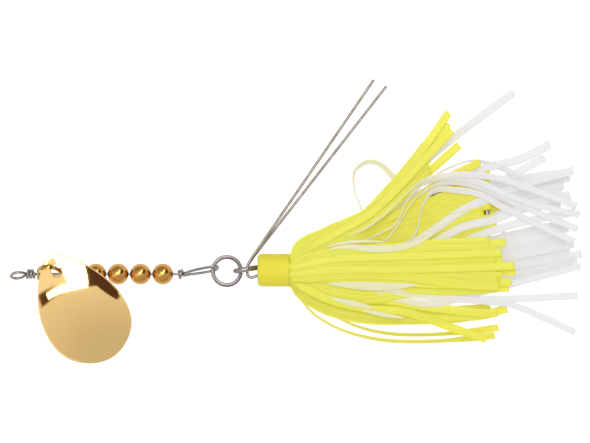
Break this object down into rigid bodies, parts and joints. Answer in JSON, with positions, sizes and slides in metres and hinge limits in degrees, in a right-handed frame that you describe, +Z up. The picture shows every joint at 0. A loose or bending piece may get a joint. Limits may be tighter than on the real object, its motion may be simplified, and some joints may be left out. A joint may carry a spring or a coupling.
{
  "type": "spinnerbait",
  "caption": "Skirted spinner bait: a wire shaft with a clevis, a dished blade and beads, and a split ring that holds a weedless hook with a collar and a skirt of vinyl strips.",
  "frame": {"origin": "under the middle of the bait's bounding box, on the surface that it lies on", "axes": "+X from the line eye to the tips of the skirt, along the shaft; +Y across, towards the weed guard; +Z up"},
  "size_m": [0.129, 0.0642, 0.0102],
  "materials": {
    "stainless_wire": "drawn stainless wire",
    "guard_wire": "drawn spring wire",
    "nickel_plate": "bright nickel plate",
    "gold_plate": "polished gold plate",
    "bead_metal": "polished, coppery",
    "collar_rubber": "moulded rubber",
    "sleeve_plastic": "moulded",
    "yellow_vinyl": "cut sheet, satin",
    "white_vinyl": "cut sheet, satin"
  },
  "bodies": {
    "shaft": {"wire_shaft": "stainless_wire"},
    "clevis": {"clevis": "gold_plate"},
    "blade": {"blade": "gold_plate"},
    "bead_1": {"bead_1": "bead_metal"},
    "bead_2": {"bead_2": "bead_metal"},
    "bead_3": {"bead_3": "bead_metal"},
    "bead_4": {"bead_4": "bead_metal"},
    "bead_5": {"bead_5": "bead_metal"},
    "split_ring": {"split_ring": "stainless_wire"},
    "hook": {"hook": "nickel_plate", "skirt_sleeve": "sleeve_plastic", "collar": "collar_rubber", "guard_root_outer": "guard_wire", "guard_root_inner": "guard_wire", "strip_yellow_01": "yellow_vinyl", "strip_yellow_02": "yellow_vinyl", "strip_yellow_03": "yellow_vinyl", "strip_yellow_04": "yellow_vinyl", "strip_yellow_05": "yellow_vinyl", "strip_yellow_06": "yellow_vinyl", "strip_white_01": "white_vinyl", "strip_yellow_07": "yellow_vinyl", "strip_yellow_08": "yellow_vinyl", "strip_yellow_21": "yellow_vinyl", "strip_yellow_09": "yellow_vinyl", "strip_white_02": "white_vinyl", "strip_white_03": "white_vinyl", "strip_yellow_10": "yellow_vinyl", "strip_yellow_11": "yellow_vinyl", "strip_white_04": "white_vinyl", "strip_white_05": "white_vinyl", "strip_white_06": "white_vinyl", "strip_yellow_12": "yellow_vinyl", "strip_yellow_13": "yellow_vinyl", "strip_white_07": "white_vinyl", "strip_white_08": "white_vinyl", "strip_white_09": "white_vinyl", "strip_white_10": "white_vinyl", "strip_yellow_14": "yellow_vinyl", "strip_white_11": "white_vinyl", "strip_yellow_15": "yellow_vinyl", "strip_yellow_16": "yellow_vinyl", "strip_yellow_17": "yellow_vinyl", "strip_yellow_18": "yellow_vinyl", "strip_yellow_19": "yellow_vinyl", "strip_white_12": "white_vinyl", "strip_white_13": "white_vinyl", "strip_white_14": "white_vinyl", "strip_yellow_20": "yellow_vinyl", "strip_white_15": "white_vinyl", "strip_white_16": "white_vinyl", "strip_white_17": "white_vinyl", "strip_yellow_22": "yellow_vinyl", "strip_white_18": "white_vinyl", "strip_white_19": "white_vinyl", "strip_yellow_23": "yellow_vinyl", "strip_yellow_24": "yellow_vinyl", "strip_yellow_25": "yellow_vinyl"},
    "guard_outer": {"guard_arm_outer": "guard_wire"},
    "guard_inner": {"guard_arm_inner": "guard_wire"}
  },
  "joints": [
    {"name": "clevis_spin", "type": "hinge", "parent": "shaft", "child": "clevis", "pos_m": [-0.05547, -0.01175, 0.00235], "axis": [1, 0, 0], "continuous": true},
    {"name": "blade_swing", "type": "hinge", "parent": "clevis", "child": "blade", "pos_m": [-0.05359, -0.01047, 0.00546], "axis": [0, -0.2419, 0.9703], "range_deg": [-6, 105]},
    {"name": "bead_1_spin", "type": "hinge", "parent": "shaft", "child": "bead_1", "pos_m": [-0.05547, -0.01175, 0.00235], "axis": [1, 0, 0], "continuous": true},
    {"name": "bead_2_spin", "type": "hinge", "parent": "shaft", "child": "bead_2", "pos_m": [-0.05547, -0.01175, 0.00235], "axis": [1, 0, 0], "continuous": true},
    {"name": "bead_3_spin", "type": "hinge", "parent": "shaft", "child": "bead_3", "pos_m": [-0.05547, -0.01175, 0.00235], "axis": [1, 0, 0], "continuous": true},
    {"name": "bead_4_spin", "type": "hinge", "parent": "shaft", "child": "bead_4", "pos_m": [-0.05547, -0.01175, 0.00235], "axis": [1, 0, 0], "continuous": true},
    {"name": "bead_5_spin", "type": "hinge", "parent": "shaft", "child": "bead_5", "pos_m": [-0.05547, -0.01175, 0.00235], "axis": [1, 0, 0], "continuous": true},
    {"name": "ring_turn", "type": "hinge", "parent": "shaft", "child": "split_ring", "pos_m": [-0.01756, -0.0103, 0.00373], "axis": [0, 0, 1], "range_deg": [-50, 50]},
    {"name": "hook_hang", "type": "hinge", "parent": "split_ring", "child": "hook", "pos_m": [-0.01242, -0.01076, 0.00373], "axis": [0, 1, 0], "range_deg": [-70, 70]},
    {"name": "guard_outer_flex", "type": "hinge", "parent": "hook", "child": "guard_outer", "pos_m": [-0.00932, -0.00719, 0.00438], "axis": [0, 0, 1], "range_deg": [-30, 8], "stiffness_Nm_per_rad": 0.02},
    {"name": "guard_inner_flex", "type": "hinge", "parent": "hook", "child": "guard_inner", "pos_m": [-0.00906, -0.00719, 0.00358], "axis": [0, 0, 1], "range_deg": [-26, 8], "stiffness_Nm_per_rad": 0.02}
  ]
}
